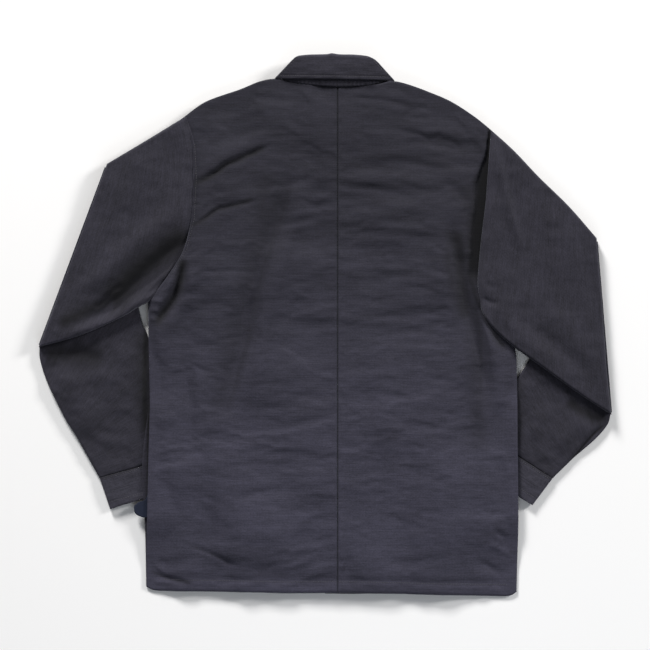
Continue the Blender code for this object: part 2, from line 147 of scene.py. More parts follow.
def coons(inner, outer, start, end, cluster=0.0, power=1.0):
    """A grid of points, rows from start to end and columns from inner to outer, with u and v."""
    rows, columns = len(inner) - 1, len(start) - 1
    s = np.linspace(0, 1, columns + 1)
    u = ((1 - cluster) * s + cluster * (0.5 - 0.5 * np.cos(math.pi * s))) ** power
    start = np.stack([np.interp(u, s, start[:, k]) for k in range(2)], 1)
    end = np.stack([np.interp(u, s, end[:, k]) for k in range(2)], 1)
    v = np.linspace(0, 1, rows + 1)
    uu, vv = np.meshgrid(u, v)
    w = uu[..., None]
    h = vv[..., None]
    across = inner[:, None] * (1 - w) + outer[:, None] * w
    up = start[None] * (1 - h) + end[None] * h
    corners = (start[0] * (1 - w) + start[-1] * w) * (1 - h) + (end[0] * (1 - w) + end[-1] * w) * h
    return across + up - corners, uu, vv


def rectangle(x0, x1, y0, y1, columns, rows):
    """An even grid of points over a rectangle."""
    return np.dstack(np.meshgrid(np.linspace(x0, x1, columns + 1), np.linspace(y0, y1, rows + 1)))


def smooth(low, high, value):
    """0 where value is low, 1 where it is high, and an easy change between."""
    share = np.clip((np.asarray(value, float) - low) / (high - low), 0, 1)
    return share * share * (3 - 2 * share)


def bell(distance, width):
    """1 at distance 0, and less on both sides of it over width."""
    return np.exp(-(distance / width) ** 2)


def rounded(distance, radius):
    """How far an edge rounded to radius has dropped: 1 at the edge and 0 from radius on."""
    return 1 - np.sqrt(1 - (1 - np.clip(distance / radius, 0, 1)) ** 2)


def noise(x, y, seed):
    """Smooth random values between about -1 and 1 that change over one unit of x and y."""
    size = 64
    table = np.random.default_rng(seed).uniform(-1, 1, (size, size))
    x, y = np.asarray(x, float) + 300, np.asarray(y, float) + 300      # so that no index is below 0
    i, j = np.floor(x).astype(int), np.floor(y).astype(int)
    a, b = (t * t * t * (t * (6 * t - 15) + 10) for t in (x - i, y - j))
    corner = lambda p, q: table[(i + p) % size, (j + q) % size]
    return ((corner(0, 0) * (1 - a) + corner(1, 0) * a) * (1 - b)
            + (corner(0, 1) * (1 - a) + corner(1, 1) * a) * b)


def ripples(x, y, seed, *layers):
    """Layers of noise. Each has its height and how far its waves reach in x and in y."""
    return sum(height * noise(x / across, y / along, seed + 2 * k)
               for k, (height, across, along) in enumerate(layers))


def fold(x, y, points, height, width, skew=0.0, ends=0.3):
    """A ridge (or a valley, if height is below 0) along points. skew makes its left side steeper."""
    path = curve(points, 24)
    best = np.full(np.shape(x), np.inf)
    side = np.zeros(np.shape(x))
    share = np.zeros(np.shape(x))
    count = len(path) - 1
    for k, (a, b) in enumerate(zip(path, path[1:])):
        d = b - a
        t = np.clip(((x - a[0]) * d[0] + (y - a[1]) * d[1]) / (d @ d), 0, 1)
        ex, ey = x - a[0] - t * d[0], y - a[1] - t * d[1]
        away = np.hypot(ex, ey)
        closer = away < best
        best = np.where(closer, away, best)
        side = np.where(closer, np.sign(d[0] * ey - d[1] * ex), side)
        share = np.where(closer, (k + t) / count, share)
    taper = smooth(0, ends, share) * smooth(0, ends, 1 - share)
    return height * bell(best, width * (1 - skew * side)) * taper


def add_folds(z, x, y, folds, share):
    for points, height, *shape in folds:
        z = z + fold(x, y, points, height * share, *shape)
    return z


# ---- Meshes --------------------------------------------------------------------------------------

def add_object(name, data):
    obj = bpy.data.objects.new(name, data)
    bpy.context.scene.collection.objects.link(obj)
    return obj


def grid_object(name, points, flat=None, ring=False):
    """A smooth mesh over rows of points in millimetres. flat gives each point's place in the cut cloth, for
    the weave, and is the points' own x and y if it isn't given. With ring each row is closed."""
    flat = points[..., :2] if flat is None else flat
    rows, columns = points.shape[:2]
    index = np.arange(rows * columns).reshape(rows, columns)
    if ring:
        index = np.concatenate([index, index[:, :1]], axis=1)
    quads = np.stack([index[:-1, :-1], index[:-1, 1:], index[1:, 1:], index[1:, :-1]], -1).reshape(-1, 4)
    mesh = bpy.data.meshes.new(name)
    mesh.from_pydata((points.reshape(-1, 3) * MM).tolist(), [], quads.tolist())
    uv = mesh.uv_layers.new(name="weave")
    corners = np.zeros(len(mesh.loops), np.int32)
    mesh.loops.foreach_get("vertex_index", corners)
    uv.data.foreach_set("uv", (flat.reshape(-1, 2)[corners] * MM).astype(np.float32).ravel())
    mesh.polygons.foreach_set("use_smooth", [True] * len(mesh.polygons))
    return add_object(name, mesh)


def paint_shade_and_highlight(obj, share):
    """Painted shade inside the creases and under edges, up to share 1. Below 0 it is a painted highlight
    instead.
    """
    creases = obj.data.attributes.new("crease", "FLOAT", "POINT")
    values = np.zeros(len(obj.data.vertices), np.float32)
    values[:share.size] = np.clip(share, -0.7, 1).ravel()
    creases.data.foreach_set("value", values)


def of_faces(obj, what):
    """The normal or the center of each face."""
    values = np.zeros(len(obj.data.polygons) * 3)
    obj.data.polygons.foreach_get(what, values)
    return values.reshape(-1, 3)


def face_up(obj):
    """Turns an open sheet so that its mean normal points up."""
    if of_faces(obj, "normal")[:, 2].sum() < 0:
        obj.data.flip_normals()


def face_out(obj):
    """Makes a tube's faces point out: those on its top half up."""
    heights, normals = of_faces(obj, "center")[:, 2], of_faces(obj, "normal")[:, 2]
    if (normals * (heights - np.median(heights))).sum() < 0:
        obj.data.flip_normals()


def thicken(obj, thickness, offset):
    modifier = obj.modifiers.new("cloth", "SOLIDIFY")
    modifier.thickness = thickness * MM
    modifier.offset = offset
    modifier.use_even_offset = False
    shown = obj.evaluated_get(bpy.context.evaluated_depsgraph_get())
    mesh = bpy.data.meshes.new_from_object(shown)
    obj.modifiers.clear()
    obj.data = mesh


def dress(obj, look, *nodes, thickness=CLOTH, offset=-1.0, slot="shell_cloth"):
    """Gives a skin its thickness and look, and hides the CAD nodes that it replaces. slot is not used."""
    thicken(obj, thickness, offset)
    obj.data.materials.append(look)
    if nodes:
        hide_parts(*nodes)


def surface_of(*objects):
    """Looks straight down on the objects: a function from x, y to the height of their top, in millimetres."""
    points, faces = [], []
    for obj in objects:
        first = len(points)
        points += [v.co / MM for v in obj.data.vertices]
        faces += [[first + k for k in f.vertices] for f in obj.data.polygons]
    tree = BVHTree.FromPolygons(points, faces)

    def top(x, y, default=10.0, above=500.0):
        hit = tree.ray_cast(Vector((x, y, above)), Vector((0, 0, -1)))[0]
        return default if hit is None else hit.z

    return top


def bar(start, end, shift, points, faces):
    """Adds a stitch from start to end: a six-sided bar whose thin ends are sunk into the cloth."""
    along = (end - start).normalized()
    across = Vector((-along.y, along.x, 0)).normalized()
    up = along.cross(across)
    if up.z < 0:
        up = -up
    first, sides = len(points), 6
    for place, share, sink in ((0.0, 0.35, 0.22), (0.2, 1.0, 0.0), (0.8, 1.0, 0.0), (1.0, 0.35, 0.22)):
        centre = start.lerp(end, place) - Vector((0, 0, sink)) + across * shift
        for turn in range(sides):
            a = math.tau * turn / sides
            points.append(centre + across * math.cos(a) * THREAD_RADIUS * share
                          + up * math.sin(a) * THREAD_RADIUS * 0.75 * share)
    for ring in range(3):
        for k in range(sides):
            a, b = first + ring * sides + k, first + ring * sides + (k + 1) % sides
            faces.append((a, b, b + sides, a + sides))
    faces.append(tuple(first + k for k in reversed(range(sides))))
    faces.append(tuple(first + 3 * sides + k for k in range(sides)))


def sew(name, path, top, body, lift=0.05):
    """A row of stitches along path, lying on the surface top and riding body."""
    length = np.linalg.norm(np.diff(np.array(path, float), axis=0), axis=1).sum()
    path = line(path, max(2, int(length / PATH_STEP)))
    points, faces = [], []
    rng = np.random.default_rng(len(name) * 7 + len(path))
    at = 1.5
    while at + STITCH < len(path) * PATH_STEP - 1.0:
        ends = []
        for where in (at, at + STITCH):
            k = min(int(where / PATH_STEP), len(path) - 2)
            x, y = path[k] + (path[k + 1] - path[k]) * (where / PATH_STEP - k)
            ends.append(Vector((x, y, top(x, y) + lift)))
        bar(*ends, rng.uniform(-0.08, 0.08), points, faces)
        at += STITCH + GAP
    mesh = bpy.data.meshes.new(name)
    mesh.from_pydata([tuple(p * MM) for p in points], [], faces)
    built = bmesh.new()
    built.from_mesh(mesh)
    bmesh.ops.recalc_face_normals(built, faces=built.faces)
    built.to_mesh(mesh)
    built.free()
    mesh.polygons.foreach_set("use_smooth", [True] * len(mesh.polygons))
    mesh.materials.append(THREAD)
    obj = add_object(name, mesh)
    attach(obj, body)


# ---- Materials -----------------------------------------------------------------------------------

def new_material(name):
    material = bpy.data.materials.new(name)
    material.use_nodes = True
    tree = material.node_tree
    return material, tree, tree.nodes["Principled BSDF"]


def put(tree, made, **inputs):
    """Sets a node's inputs to values, or links them to sockets. i0 is its first input."""
    for name, value in inputs.items():
        key = int(name[1:]) if name[0] == "i" and name[1:].isdigit() else name.replace("_", " ")
        if isinstance(value, bpy.types.NodeSocket):
            tree.links.new(value, made.inputs[key])
        else:
            made.inputs[key].default_value = value
    return made


def node(tree, kind, **inputs):
    return put(tree, tree.nodes.new(kind), **inputs)


def maths(tree, operation, a, b):
    made = node(tree, "ShaderNodeMath", i0=a, i1=b)
    made.operation = operation
    return made.outputs[0]


def two_tone(tree, share, dark, light, low=0.0, high=1.0):
    """A ramp from a dark colour to a light one."""
    ramp = node(tree, "ShaderNodeValToRGB", Fac=share)
    for stop, place, colour in zip(ramp.color_ramp.elements, (low, high), (dark, light)):
        stop.position, stop.color = place, (*colour, 1)
    return ramp.outputs[0]


def cloth_material(name, colour, slub=0.16, pitch=0.75, sheen=0.25, hem_colour_painted_light=None, by_object=False):
    """Plain weave: threads both ways, slubs along the weft, slow changes of shade and a little sheen. pitch
    is how many millimetres of cloth one radian of the weave's waves takes. The last colour argument is
    painted light: the cloth blends to it, lighter and bluer, towards the hem."""
    material, tree, shader = new_material(name)
    if by_object:
        flat = tree.nodes.new("ShaderNodeTexCoord").outputs["Object"]
    else:
        layer = tree.nodes.new("ShaderNodeUVMap")
        layer.uv_map = "weave"
        flat = layer.outputs[0]

    def stretched(across, along, seed):
        made = node(tree, "ShaderNodeMapping", Vector=flat, Location=(seed, seed * 0.37, seed * 1.7),
                    Scale=(across, along, 1.0))
        return made.outputs[0]

    def clouds(across, along, seed, detail, rough=0.5):
        """Soft noise, with about this many clouds to a metre each way."""
        made = node(tree, "ShaderNodeTexNoise", Vector=stretched(across, along, seed), Scale=1.0,
                    Detail=detail, Roughness=rough)
        return made.outputs[0]

    def threads(direction, across, along):
        made = node(tree, "ShaderNodeTexWave", Vector=stretched(across, along, 0.0), Scale=50.0 / pitch,
                    Distortion=0.6, Detail=1.0, Detail_Scale=2.0)
        made.wave_type = "BANDS"
        made.bands_direction = direction
        return made.outputs["Fac"]

    weave = maths(tree, "MULTIPLY", threads("X", 1.0, 0.001), threads("Y", 0.001, 1.0))
    slubs = clouds(55, 620, 3.0, 3.0, 0.55)                    # long and thin, along the weft
    gain = 0.96
    for cloud, strength in (
        (slubs, 5.0),
        (clouds(520, 45, 9.0, 2.0), 0.9),                      # the warp's slubs
        (clouds(9, 22, 5.0, 3.0), 2.2),                        # slow changes of shade
        (clouds(480, 640, 1.0, 1.0), 4.4),                     # speckle, thread by thread
        (clouds(14, 130, 13.0, 3.0, 0.6), 2.6),                # bands of thicker weft
    ):
        change = maths(tree, "MULTIPLY", maths(tree, "SUBTRACT", cloud, 0.5), slub * strength)
        gain = maths(tree, "ADD", gain, change)
    gain = maths(tree, "ADD", gain, maths(tree, "MULTIPLY", weave, 0.04))
    wear_and_edge_highlight = node(tree, "ShaderNodeNewGeometry").outputs["Pointiness"]      # edges that stick out are painted lighter: fading from wear and a painted highlight
    wear_and_edge_highlight = maths(tree, "MAXIMUM", maths(tree, "SUBTRACT", wear_and_edge_highlight, 0.52), 0.0)
    gain = maths(tree, "ADD", gain, maths(tree, "MULTIPLY", wear_and_edge_highlight, 2.2))
    # Painted shade: the cloth is darkened by this point attribute, and lightened where it is below 0
    creases = tree.nodes.new("ShaderNodeAttribute")
    creases.attribute_name = "crease"                          # painted shade and painted highlight, per point
    kept = maths(tree, "SUBTRACT", 1.0, maths(tree, "MULTIPLY", creases.outputs["Fac"], 0.85))
    gain = maths(tree, "MULTIPLY", gain, kept)
    tint = node(tree, "ShaderNodeVectorMath", i0=(*colour,))
    tint.operation = "SCALE"
    # Painted light: the cloth blends lighter and bluer towards the hem
    if hem_colour_painted_light:
        along = node(tree, "ShaderNodeSeparateXYZ", i0=flat).outputs[1]
        ramp = node(tree, "ShaderNodeMapRange", Value=along, From_Min=0.26, From_Max=-0.32)
        ramp.interpolation_type = "SMOOTHSTEP"
        blend = node(tree, "ShaderNodeMix", i0=ramp.outputs[0])
        blend.data_type = "RGBA"
        put(tree, blend, i6=(*colour, 1), i7=(*hem_colour_painted_light, 1))
        put(tree, tint, i0=blend.outputs[2])
    put(tree, tint, Scale=gain)
    relief = maths(tree, "ADD", maths(tree, "MULTIPLY", weave, 0.35), maths(tree, "MULTIPLY", slubs, 0.9))
    bump = node(tree, "ShaderNodeBump", Height=relief, Strength=0.35, Distance=0.0006)
    put(tree, shader, Base_Color=tint.outputs[0], Roughness=0.86, Sheen_Weight=sheen, Sheen_Roughness=0.45,
        Sheen_Tint=(0.75, 0.78, 0.9, 1.0), Specular_IOR_Level=0.3, Normal=bump.outputs[0])
    return material


def thread_material(name, colour):
    material, tree, shader = new_material(name)
    place = node(tree, "ShaderNodeTexCoord").outputs["Object"]
    clouds = node(tree, "ShaderNodeTexNoise", Vector=place, Scale=900.0, Detail=2.0).outputs[0]
    shades = two_tone(tree, clouds, [c * 0.7 for c in colour], [c * 1.35 for c in colour])
    put(tree, shader, Base_Color=shades, Roughness=0.6, Sheen_Weight=0.3)
    return material


def metal_material(name, colour):
    """Blackened brass that has rubbed bright in places."""
    material, tree, shader = new_material(name)
    place = node(tree, "ShaderNodeTexCoord").outputs["Object"]
    rub = node(tree, "ShaderNodeTexNoise", Vector=place, Scale=420.0, Detail=5.0, Roughness=0.7).outputs[0]
    edge = node(tree, "ShaderNodeNewGeometry").outputs["Pointiness"]
    edge = maths(tree, "MULTIPLY", maths(tree, "SUBTRACT", edge, 0.5), 5.0)
    bright = maths(tree, "ADD", rub, edge)
    shades = two_tone(tree, bright, [c * 0.6 for c in colour], (0.34, 0.28, 0.19), 0.35, 0.8)
    put(tree, shader, Base_Color=shades, Metallic=1.0, Roughness=maths(tree, "MULTIPLY_ADD", rub, 0.3))
    return material


SHELL = cloth_material("shell_cloth_look", (0.0206, 0.0195, 0.0293), slub=0.24, sheen=0.14)
# The back is painted lighter and bluer towards the hem, as painted light
BACK = cloth_material("shell_back_look", (0.0168, 0.0162, 0.0250), slub=0.18, sheen=0.14,
                      hem_colour_painted_light=(0.0374, 0.0359, 0.0558))
CUFF = cloth_material("shell_cuff_look", (0.0310, 0.0297, 0.0423), slub=0.22, sheen=0.14)
INSIDE = cloth_material("shell_inside_look", (0.034, 0.032, 0.042), slub=0.14, sheen=0.15)
POCKETING = cloth_material("pocketing_look", (0.007, 0.011, 0.027), slub=0.12, pitch=0.5, sheen=0.2)
TAPE = cloth_material("tape_look", (0.028, 0.028, 0.034), slub=0.3, pitch=1.2, by_object=True)
LABEL = cloth_material("label_look", (0.52, 0.50, 0.46), slub=0.05, pitch=0.4, sheen=0.1)
THREAD = thread_material("thread_look", (0.022, 0.021, 0.030))
METAL = metal_material("snap_metal_look", (0.09, 0.085, 0.08))


# ---- Levels and creases shared by the layers -----------------------------------------------------

def front_level(x, y, out):
    """Height of the underside of a front; out is 0 at the centre front and 1 at the side seam."""
    lift = 2.2 * smooth(-372, -332, y) * (1 - smooth(34, 75, np.abs(x - CENTRE_X)))
    level = lift + (2.5 - lift) * smooth(235, 280, y)
    level = level + (8.4 - level) * smooth(0.40, 0.64, out) * smooth(-335, -285, y)
    return level + smooth(260, 350, y) * (10.0 - level) * smooth(0.0, 0.3, out)


def seam_level(x, y):
    """Underside of the back along the side seam."""
    pocket = smooth(-367, -327, y) * (1 - smooth(-132, -92, y))
    return 2.1 + front_level(x, y, 1.0) + 4.0 * pocket


# Painted shade in creases and under the edges of pieces: each one's points, strength and width
PAINTED_SHADE_LINES = {}
PAINTED_SHADE_LINES["back_left"] = [
    ([(-211, 106), (-214, 76), (-220, 54), (-228, 37), (-240, 20), (-256, -6)], 1.0, 7.5),
    ([(-206, 204), (-190, 213), (-164, 225), (-145, 240), (-115, 253), (-84, 268)], 0.85, 5.0),
    ([(-206, 147), (-190, 152), (-176, 160), (-160, 171), (-127, 180), (-100, 190)], 0.7, 4.0),
    ([(-56, 230), (-73, 182), (-98, 110), (-116, 50), (-132, -10), (-150, -90), (-172, -170)], 0.3, 20.0),
    ([(-48, 236), (-60, 182), (-84, 110), (-100, 50), (-113, -10), (-134, -90), (-158, -160)], 0.34, 7.0),
    ([(-84, 230), (-92, 190), (-94, 150)], 0.3, 12.0),
    ([(-206, -327), (-188, -335), (-168, -343), (-145, -355)], 0.4, 2.0),
    ([(-262, -367), (-246, -375), (-226, -381), (-196, -387)], 0.6, 2.4),
]
PAINTED_SHADE_LINES["back_right"] = [
    ([(190, 150), (200, 110), (204, 70), (208, 30), (214, 0)], 0.75, 14.0),
    ([(180, 120), (184, 90), (192, 50)], 0.4, 8.0),
    ([(216, 60), (224, 0), (226, -60), (228, -130), (230, -200)], 0.38, 16.0),
    ([(222, 40), (230, -10), (232, -60), (230, -110)], 0.5, 5.0),
    ([(214, 84), (226, 44), (240, 14), (258, -20), (276, -42)], 0.72, 6.0),
    ([(206, 214), (218, 176), (222, 130)], 0.4, 16.0),
]
PAINTED_SHADE_LINES["sleeve_left"] = [
    ([(-196, 142), (-214, 131), (-245, 108), (-278, 82), (-306, 54), (-330, 24)], 1.0, 20.0),
    ([(-300, 50), (-332, 32), (-374, 12), (-404, 0)], 0.8, 10.0),
]
PAINTED_SHADE_LINES["forearm_left"] = [
    ([(-424, -44), (-396, -44), (-352, -46), (-330, -52)], 0.75, 17.0),
    ([(-270, 4), (-272, -60), (-270, -120), (-262, -180)], 0.6, 15.0),
    ([(-266, 8), (-269, -40), (-270, -100), (-267, -176)], 1.0, 7.0),
]
PAINTED_SHADE_LINES["forearm_right"] = [
    ([(424, -140), (404, -138), (384, -128), (360, -112)], 0.8, 9.0),
    ([(424, -144), (398, -168), (372, -199), (352, -222)], 0.9, 1.9),
    ([(290, -70), (290, -140), (284, -190)], 0.5, 8.0),
]


# Painted shade along the listed lines of a piece
def painted_shade_along(name, x, y):
    share = np.zeros(np.shape(x))
    for points, strength, width in PAINTED_SHADE_LINES.get(name, []):
        share = np.maximum(share, fold(x, y, points, strength, width, ends=0.14))
    return share


# Each fold's points, height (below 0 for a valley) and width, and its skew where it has one
BACK_FOLDS = {}
BACK_FOLDS["left"] = [
    ([(-206, 206), (-190, 215), (-164, 227), (-145, 242), (-115, 255), (-70, 273)], -2.3, 4.6, 0.2),
    ([(-200, 232), (-168, 240), (-130, 262), (-84, 288)], 1.8, 12),
    ([(-196, 194), (-160, 206), (-116, 230), (-60, 250)], 1.0, 14),
    ([(-206, 148), (-190, 153), (-176, 161), (-160, 172), (-127, 181), (-100, 186)], -1.4, 3.2, 0.3),
    ([(-196, 170), (-166, 186), (-126, 196), (-96, 198)], 0.8, 6),
    ([(-206, 196), (-196, 192), (-184, 192)], -0.7, 2.6),
    ([(-206, 183), (-196, 179), (-186, 178)], -0.7, 2.4),
    ([(-206, 172), (-197, 166), (-188, 166)], -0.6, 2.2),
    ([(-18, 262), (-34, 190), (-58, 116), (-76, 50), (-90, -10), (-110, -90), (-134, -170)], 3.2, 13),
    ([(-44, 250), (-62, 182), (-86, 110), (-104, 50), (-118, -10), (-138, -90), (-162, -170)], -4.4, 13, 0.4),
    ([(-187, 104), (-140, 100), (-92, 90)], -1.8, 20),
    ([(-192, 82), (-165, 80), (-130, 81), (-98, 76)], -0.9, 4, 0.3),
    ([(-211, 104), (-214, 76), (-220, 54), (-228, 37), (-240, 20), (-256, -6)], -6.5, 7.5),
    ([(-196, 96), (-200, 66), (-208, 36), (-222, 12), (-238, -14)], 2.4, 11),
    ([(-262, 36), (-252, 36), (-240, 34)], 1.6, 3.0),
    ([(-264, 22), (-254, 22), (-244, 20)], 1.4, 2.8),
    ([(-264, 10), (-256, 8), (-248, 6)], 1.2, 2.6),
    ([(-200, 30), (-206, -60), (-214, -170)], -1.6, 14),
    ([(-232, -30), (-240, -130), (-236, -240)], 1.4, 14),
    ([(-206, -326), (-188, -334), (-168, -342), (-145, -354), (-120, -364)], -1.5, 4, 0.2),
    ([(-190, -322), (-150, -336), (-108, -350), (-60, -352), (-6, -340)], 1.3, 13),
    ([(-120, -364), (-80, -372), (-40, -368), (0, -352)], -1.4, 8),
    ([(-262, -366), (-246, -374), (-226, -380), (-196, -386)], -1.8, 4, 0.2),
    ([(-262, -352), (-252, -362), (-240, -366)], 1.1, 4),
    ([(-262, -340), (-250, -352), (-232, -358)], -0.9, 4),
    ([(-104, -200), (-60, -192), (-8, -196)], -0.8, 7),
    ([(-130, -96), (-80, -88), (-30, -92)], -0.7, 6),
    ([(-150, -262), (-90, -250), (-40, -254)], -0.8, 8),
    ([(-150, 330), (-90, 338), (-30, 332)], -1.2, 7),
    ([(-172, 300), (-120, 318), (-70, 318)], 0.9, 8),
    ([(-180, 268), (-130, 284), (-70, 298)], -0.9, 7),
]
BACK_FOLDS["right"] = [
    ([(30, 341), (72, 338), (108, 332), (140, 324)], -1.3, 4.5, 0.3),
    ([(112, 316), (142, 324), (168, 322)], -1.1, 5),
    ([(96, 292), (140, 284), (186, 262)], -1.6, 6, 0.2),
    ([(150, 282), (180, 272), (208, 258)], -2.4, 10, 0.2),
    ([(78, 250), (120, 246), (168, 236)], -1.0, 7),
    ([(52, 204), (96, 198), (150, 184)], -0.9, 7),
    ([(60, 182), (110, 176), (160, 186)], 0.8, 8),
    ([(170, 216), (196, 200), (214, 176)], -1.6, 8),
    ([(198, 250), (196, 190), (192, 150)], 1.4, 14),
    ([(176, 176), (190, 128), (199, 96), (212, 40), (228, -20), (238, -90), (242, -156)], -5.5, 10),
    ([(158, 160), (172, 96), (190, 20), (206, -50), (212, -150)], 1.8, 14),
    ([(214, 104), (226, 50), (244, -14), (256, -80)], 2.4, 9),
    ([(240, 0), (256, -38), (262, -90), (262, -150)], 1.8, 12),
    ([(226, 44), (240, 8), (262, -26), (280, -44)], -3.0, 6),
    ([(112, 60), (148, 54), (176, 46)], -1.0, 5),
    ([(40, -10), (90, -16), (150, -8)], -0.8, 8),
    ([(60, -100), (120, -106), (170, -96)], -0.7, 8),
    ([(150, -190), (190, -200), (226, -196)], -1.2, 14),
    ([(250, -306), (266, -316), (284, -324)], -1.5, 4),
    ([(240, -326), (262, -336), (284, -350)], 1.2, 5),
    ([(228, -352), (252, -366), (280, -384)], -1.8, 5),
    ([(244, -286), (262, -280), (284, -288)], -1.1, 4),
    ([(204, -330), (180, -346), (120, -356), (60, -352)], -1.2, 9),
    ([(262, -190), (264, -240), (266, -290)], -1.3, 7),
    ([(40, -340), (32, -362), (22, -384)], -1.2, 6),
]


def back_grid(side):
    """Half of the back, flat: columns from the centre seam out and rows from the hem up, with u and v."""
    columns, side_rows, hole_rows = 112, 160, 100
    flank = np.concatenate([curve(SIDE[side], side_rows), curve(ARMHOLE[side], hole_rows)[1:]])
    middle = CENTRE_X + (-0.02 if side == "left" else 0.02)
    hem, neck = HEM_LINE[side], BACK_END[side]
    start = curve([(middle, hem[0][1]), *hem[1:]], columns)
    end = curve([(middle, neck[0][1]), *neck[1:]], columns)
    end[-1] = flank[-1]
    return coons(line([start[0], end[0]], side_rows + hole_rows), flank, start, end, power=1.3)


def small_folds(side, x, y):
    """The folds that are too small to draw one by one, as noise of their size and slope."""
    left = side == "left"
    slope = y + (-0.16 if left else 0.06) * x
    patch = (0.35 + smooth(-0.35, 0.5, noise(x / 110, y / 90, 15))) * (1.0 if left else 0.8)
    patch = patch * (0.55 + 0.45 * smooth(-150, 80, y))            # the cloth is flatter towards the hem
    return (3.6 * noise(x / 95, y / 75, 4) + 2.8 * noise(x / 30, y / 130, 5)
            + patch * (1.5 * noise(x / 75, slope / 20, 7) + 0.85 * noise(x / 34, slope / 10, 9))
            + 0.26 * noise(x / 12, y / 4.4, 10))


def make_back(side):
    """One half of the back's top surface, as an object and as points, and the least height of each point."""
    grid, u, v = back_grid(side)
    x, y = grid[..., 0], grid[..., 1]
    off = np.abs(x - CENTRE_X)
    seam = seam_level(x, y)
    edge = seam + (15.0 - seam) * smooth(-20, 90, y)
    dome = 13.4 + 7.6 * smooth(-404, -300, y)
    z = dome - (dome - edge) * u ** 4
    z = z + (12.6 - z) * smooth(0.84, 1.0, v) * smooth(0.42, 0.62, u)
    z = z - 2.2 * smooth(0.93, 1.0, v) * smooth(0.5, 0.3, u)
    z = add_folds(z, x, y, BACK_FOLDS[side], 1.35)
    calm = 0.35 + 0.65 * smooth(0, 40, off) * smooth(0, 0.06, 1 - u)
    z = z + calm * small_folds(side, x, y)
    rim = (1 - u) * HALF_BACK
    z = z - 2.6 * rounded(rim, 5.0)
    # The centre seam: a groove, the allowance pressed to one side, and small puckers across it
    pucker = np.sin(y / 3.4 + 2.2 * noise(y / 30, y * 0, 3)) * np.exp(-off / 7.0)
    z = z - 1.5 * bell(off, 1.0) + 0.20 * pucker
    if side == "right":
        z = z + 0.35 * smooth(11, 8, off)
    # The hem: its stitching is drawn in, and the cloth dips before it
    low = y - np.interp(x, *np.array(sorted(HEM_LINE[side])).T)
    z = z - 1.3 * bell(low - 20.0, 5.0) - 0.5 * bell(low - HEM, 1.3)
    z = z + 0.35 * bell(low, 14) * np.sin(x / 6.1 + 2.5 * noise(x / 40, x * 0, 12))
    z = z - 2.0 * rounded(low, 2.5)
    # The armhole: sunk where the sleeve joins, with a stitched line just inside it
    hole = np.where(y > 30, rim * (0.75 + 0.25 * v), np.inf)
    z = z - 0.9 * bell(hole - 6.5, 1.3) + 0.6 * bell(hole - 3.4, 2.0)
    # Painted shade in the creases and in the centre seam's groove
    dark = np.maximum(painted_shade_along(f"back_{side}", x, y), 0.7 * bell(off, 1.1))
    dark = dark - 0.24 * smooth(16, 9, low) * smooth(250, 90, off)        # a painted highlight along the hem's edge
    if side == "right":                                                   # a deep fold beside the sleeve, with a painted shadow in it
        sleeve_y, sleeve_x = np.array(SLEEVE_START[side])[:, ::-1].T
        near = np.interp(y, sleeve_y, sleeve_x) - x
        wide = 6.0 + 21.0 * smooth(262, 200, y)
        z = z - 8.5 * smooth(wide, wide * 0.25, near) * smooth(40, 90, y) * smooth(300, 275, y)
        shadow = smooth(wide * 1.15, wide * 0.3, near) * smooth(30, 90, y) * smooth(300, 284, y)
        dark = np.maximum(dark, shadow)
    lowest = seam + 1.2
    points = np.dstack([grid, np.maximum(z, lowest)])
    obj = grid_object(f"back_{side}", points)
    paint_shade_and_highlight(obj, dark)
    face_up(obj)
    return obj, points, lowest


def settle(obj, rest, lowest):
    """A short cloth simulation. The cloth is cut a little full, held along its border, and buckles inside."""
    rows, columns = rest.shape[:2]
    row, column = np.indices((rows, columns))
    rim = np.minimum(np.minimum(row, rows - 1 - row), np.minimum(column, columns - 1 - column))
    held = obj.vertex_groups.new(name="held")
    held.add(np.flatnonzero(rim == 0).tolist(), 1.0, "REPLACE")
    cloth = obj.modifiers.new("settle", "CLOTH")
    settings = cloth.settings
    settings.quality = 4
    settings.mass = 0.3
    settings.tension_stiffness = settings.compression_stiffness = 12
    settings.shear_stiffness = 6
    settings.bending_stiffness = 0.5
    settings.air_damping = 2.0
    settings.vertex_group_mass = "held"
    settings.shrink_min = -0.014
    settings.effector_weights.gravity = 0.0
    cloth.collision_settings.use_collision = False
    cloth.collision_settings.use_self_collision = False
    cloth.point_cache.frame_start, cloth.point_cache.frame_end = 1, SIM_FRAMES
    scene = bpy.context.scene
    for number in range(1, SIM_FRAMES + 1):
        scene.frame_set(number)
    shown = obj.evaluated_get(bpy.context.evaluated_depsgraph_get())
    moved = np.zeros(rest.size)
    shown.data.vertices.foreach_get("co", moved)
    scene.frame_set(1)
    obj.modifiers.clear()
    obj.vertex_groups.clear()
    step = moved.reshape(rest.shape) / MM - rest
    inside = smooth(0, 8, rim)                                     # the border stays where it is
    lift = (step[..., 2] - np.median(step[..., 2])) * inside
    step = np.clip(step, -1.0, 1.0) * inside[..., None]
    step[..., 2] = PUCKER * np.tanh(lift / PUCKER)
    placed = rest + step
    placed[..., 2] = np.maximum(placed[..., 2], lowest)
    obj.data.vertices.foreach_set("co", (placed * MM).ravel())
    obj.data.update()


BACKS = {side: make_back(side) for side in ("left", "right")}
for back in BACKS.values():
    settle(*back)
BACK_TOP = surface_of(*[obj for obj, rest, lowest in BACKS.values()])
for side, flat, area in (("left", (0.30, 0.77), 0.205), ("right", (0.285, 0.77), 0.200)):
    back = BACKS[side][0]
    dress(back, BACK, f"back_panel_{side}")
    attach(back, "torso")


# ---- Sleeves -------------------------------------------------------------------------------------

def spans(grid):
    """How wide each row of a grid is, and how long each column is."""
    return (np.linalg.norm(grid[:, -1] - grid[:, 0], axis=1)[:, None],
            np.linalg.norm(grid[-1] - grid[0], axis=1)[None, :])


